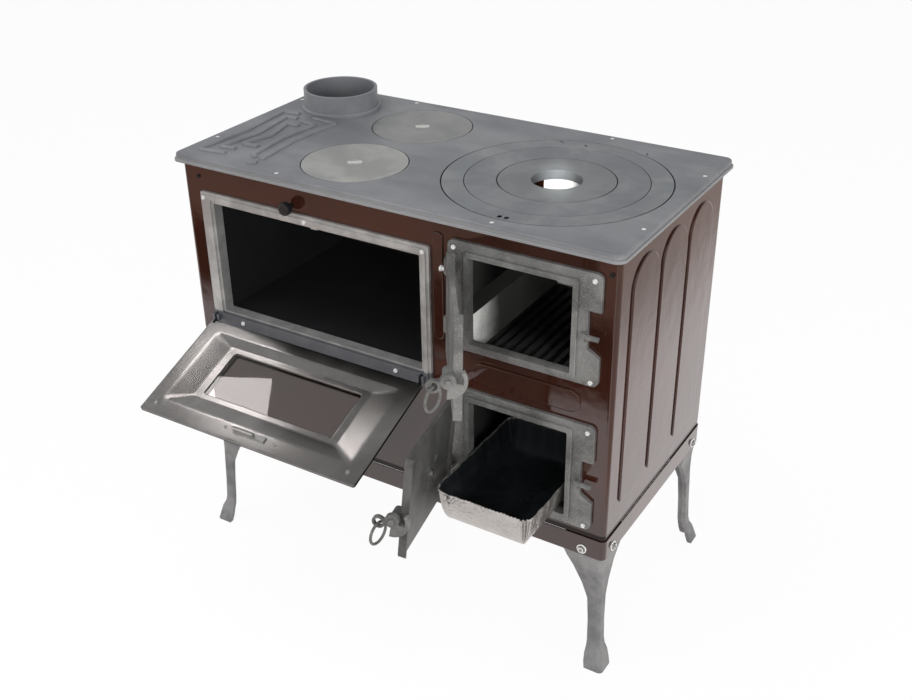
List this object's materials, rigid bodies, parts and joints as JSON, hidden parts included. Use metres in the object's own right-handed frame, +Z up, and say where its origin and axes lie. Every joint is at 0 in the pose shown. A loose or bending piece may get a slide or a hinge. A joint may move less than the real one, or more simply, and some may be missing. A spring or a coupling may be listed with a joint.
{
  "type": "wood cookstove",
  "caption": "Wood-burning cookstove on four cast legs: cast top with lids and rings, glazed drop-down oven door, firebox and ash doors, ash tray.",
  "frame": {"origin": "bottom centre of the bounding box, on the floor, with the doors open as they rest", "axes": "+X to the right of the stove's front, +Y to its back, +Z up"},
  "size_m": [0.812, 0.6779, 0.776],
  "materials": {
    "black_steel": "blued steel",
    "black_top": "satin, oiled cast iron",
    "bright_steel": "zinc plated",
    "brown_enamel": "glossy enamel",
    "cast_doors": "satin black",
    "dark_frame": "satin black",
    "firebrick": "matte",
    "foil": "bright foil",
    "leg_iron": "grey cast iron",
    "packing": "woven packing",
    "pane": "clear",
    "stainless": "satin stainless sheet"
  },
  "bodies": {
    "stove": {"top_plate": "black_top", "plate_screws": "bright_steel", "flue_collar": "black_top", "front_panel": "brown_enamel", "side_panel_left": "brown_enamel", "side_panel_right": "brown_enamel", "back_panel": "dark_frame", "panel_screws": "bright_steel", "base_band": "brown_enamel", "floor_tray": "brown_enamel", "leg_bolts": "bright_steel", "oven_frame": "stainless", "oven_frame_screws": "bright_steel", "oven_hinge_pins": "bright_steel", "oven_box": "dark_frame", "fire_frame": "cast_doors", "fire_hinge_pins": "black_steel", "fire_hinge_bolt": "bright_steel", "fire_catch_pin": "bright_steel", "ash_frame": "cast_doors", "ash_hinge_pins": "black_steel", "ash_catch_pin": "bright_steel", "hearth_frame_screws": "bright_steel", "hearth_front": "dark_frame", "hearth_shell": "dark_frame", "firebrick_left": "firebrick", "firebrick_right": "firebrick", "firebrick_rear": "firebrick", "grate": "black_top", "hearth_ledges": "dark_frame", "leg_front_right": "leg_iron", "leg_front_left": "leg_iron", "leg_rear_right": "leg_iron", "leg_rear_left": "leg_iron"},
    "lid_front": {"lid_front": "black_top"},
    "lid_rear": {"lid_rear": "black_top"},
    "ring_outer": {"ring_outer": "black_top"},
    "ring_middle": {"ring_middle": "black_top"},
    "ring_inner": {"ring_inner": "black_top"},
    "oven_door": {"oven_door_skin": "dark_frame", "oven_door_pan": "stainless", "oven_door_glass": "pane", "oven_door_gasket": "packing", "oven_door_tongue": "bright_steel", "oven_door_handle": "black_steel", "oven_door_screws": "bright_steel"},
    "fire_door": {"fire_door": "cast_doors", "fire_latch_bolt": "bright_steel"},
    "fire_latch": {"fire_latch": "cast_doors"},
    "fire_pull_ring": {"fire_pull_ring": "bright_steel"},
    "ash_door": {"ash_door": "cast_doors", "ash_latch_bolt": "bright_steel", "air_disc_bolt": "bright_steel"},
    "ash_latch": {"ash_latch": "cast_doors"},
    "ash_pull_ring": {"ash_pull_ring": "bright_steel"},
    "air_disc": {"air_disc": "cast_doors"},
    "ash_pan": {"ash_pan": "foil"},
    "damper": {"damper_knob": "dark_frame", "damper_rod": "black_steel", "damper_gate": "dark_frame"}
  },
  "joints": [
    {"name": "lid_front_lift", "type": "slide", "parent": "stove", "child": "lid_front", "axis": [0, 0, 1], "range_m": [0, 0.12]},
    {"name": "lid_rear_lift", "type": "slide", "parent": "stove", "child": "lid_rear", "axis": [0, 0, 1], "range_m": [0, 0.12]},
    {"name": "ring_outer_lift", "type": "slide", "parent": "stove", "child": "ring_outer", "axis": [0, 0, 1], "range_m": [0, 0.1]},
    {"name": "ring_middle_lift", "type": "slide", "parent": "ring_outer", "child": "ring_middle", "axis": [0, 0, 1], "range_m": [0, 0.06]},
    {"name": "ring_inner_lift", "type": "slide", "parent": "ring_middle", "child": "ring_inner", "axis": [0, 0, 1], "range_m": [0, 0.06]},
    {"name": "oven_door_hinge", "type": "hinge", "parent": "stove", "child": "oven_door", "pos_m": [-0.137, -0.08105, 0.453], "axis": [1, 0, 0], "range_deg": [-111.5, 0]},
    {"name": "fire_door_hinge", "type": "hinge", "parent": "stove", "child": "fire_door", "pos_m": [0.127, -0.08905, 0.609], "axis": [-0.0262, 0, -0.9997], "range_deg": [-55.5, 54.5]},
    {"name": "ash_door_hinge", "type": "hinge", "parent": "stove", "child": "ash_door", "pos_m": [0.127, -0.08905, 0.3595], "axis": [-0.0837, 0, -0.9965], "range_deg": [-77, 12]},
    {"name": "fire_latch_turn", "type": "hinge", "parent": "fire_door", "child": "fire_latch", "pos_m": [0.24672, -0.28228, 0.60581], "axis": [-0.5667, 0.8238, -0.0113], "range_deg": [0, 48]},
    {"name": "fire_ring_swing", "type": "hinge", "parent": "fire_latch", "child": "fire_pull_ring", "pos_m": [0.23016, -0.29376, 0.59924], "axis": [-0.5667, 0.8238, -0.0113], "range_deg": [-10, 40]},
    {"name": "ash_latch_turn", "type": "hinge", "parent": "ash_door", "child": "ash_latch", "pos_m": [0.16841, -0.31244, 0.36808], "axis": [-0.2304, 0.971, -0.0646], "range_deg": [0, 48]},
    {"name": "ash_ring_swing", "type": "hinge", "parent": "ash_latch", "child": "ash_pull_ring", "pos_m": [0.14853, -0.31751, 0.36275], "axis": [-0.2304, 0.971, -0.0646], "range_deg": [-10, 40]},
    {"name": "air_disc_turn", "type": "hinge", "parent": "ash_door", "child": "air_disc", "pos_m": [0.14774, -0.18996, 0.37095], "axis": [-0.971, -0.225, 0.0815], "range_deg": [0, 45]},
    {"name": "ash_pan_slide", "type": "slide", "parent": "stove", "child": "ash_pan", "axis": [0, -1, 0], "range_m": [-0.1901, 0.0295]},
    {"name": "damper_pull", "type": "slide", "parent": "stove", "child": "damper", "axis": [0, -1, 0], "range_m": [0, 0.06]}
  ],
  "couplings": [
    {"joint": "ash_pan_slide", "follows": "ash_door_hinge", "m_per_rad": 0.14138}
  ]
}
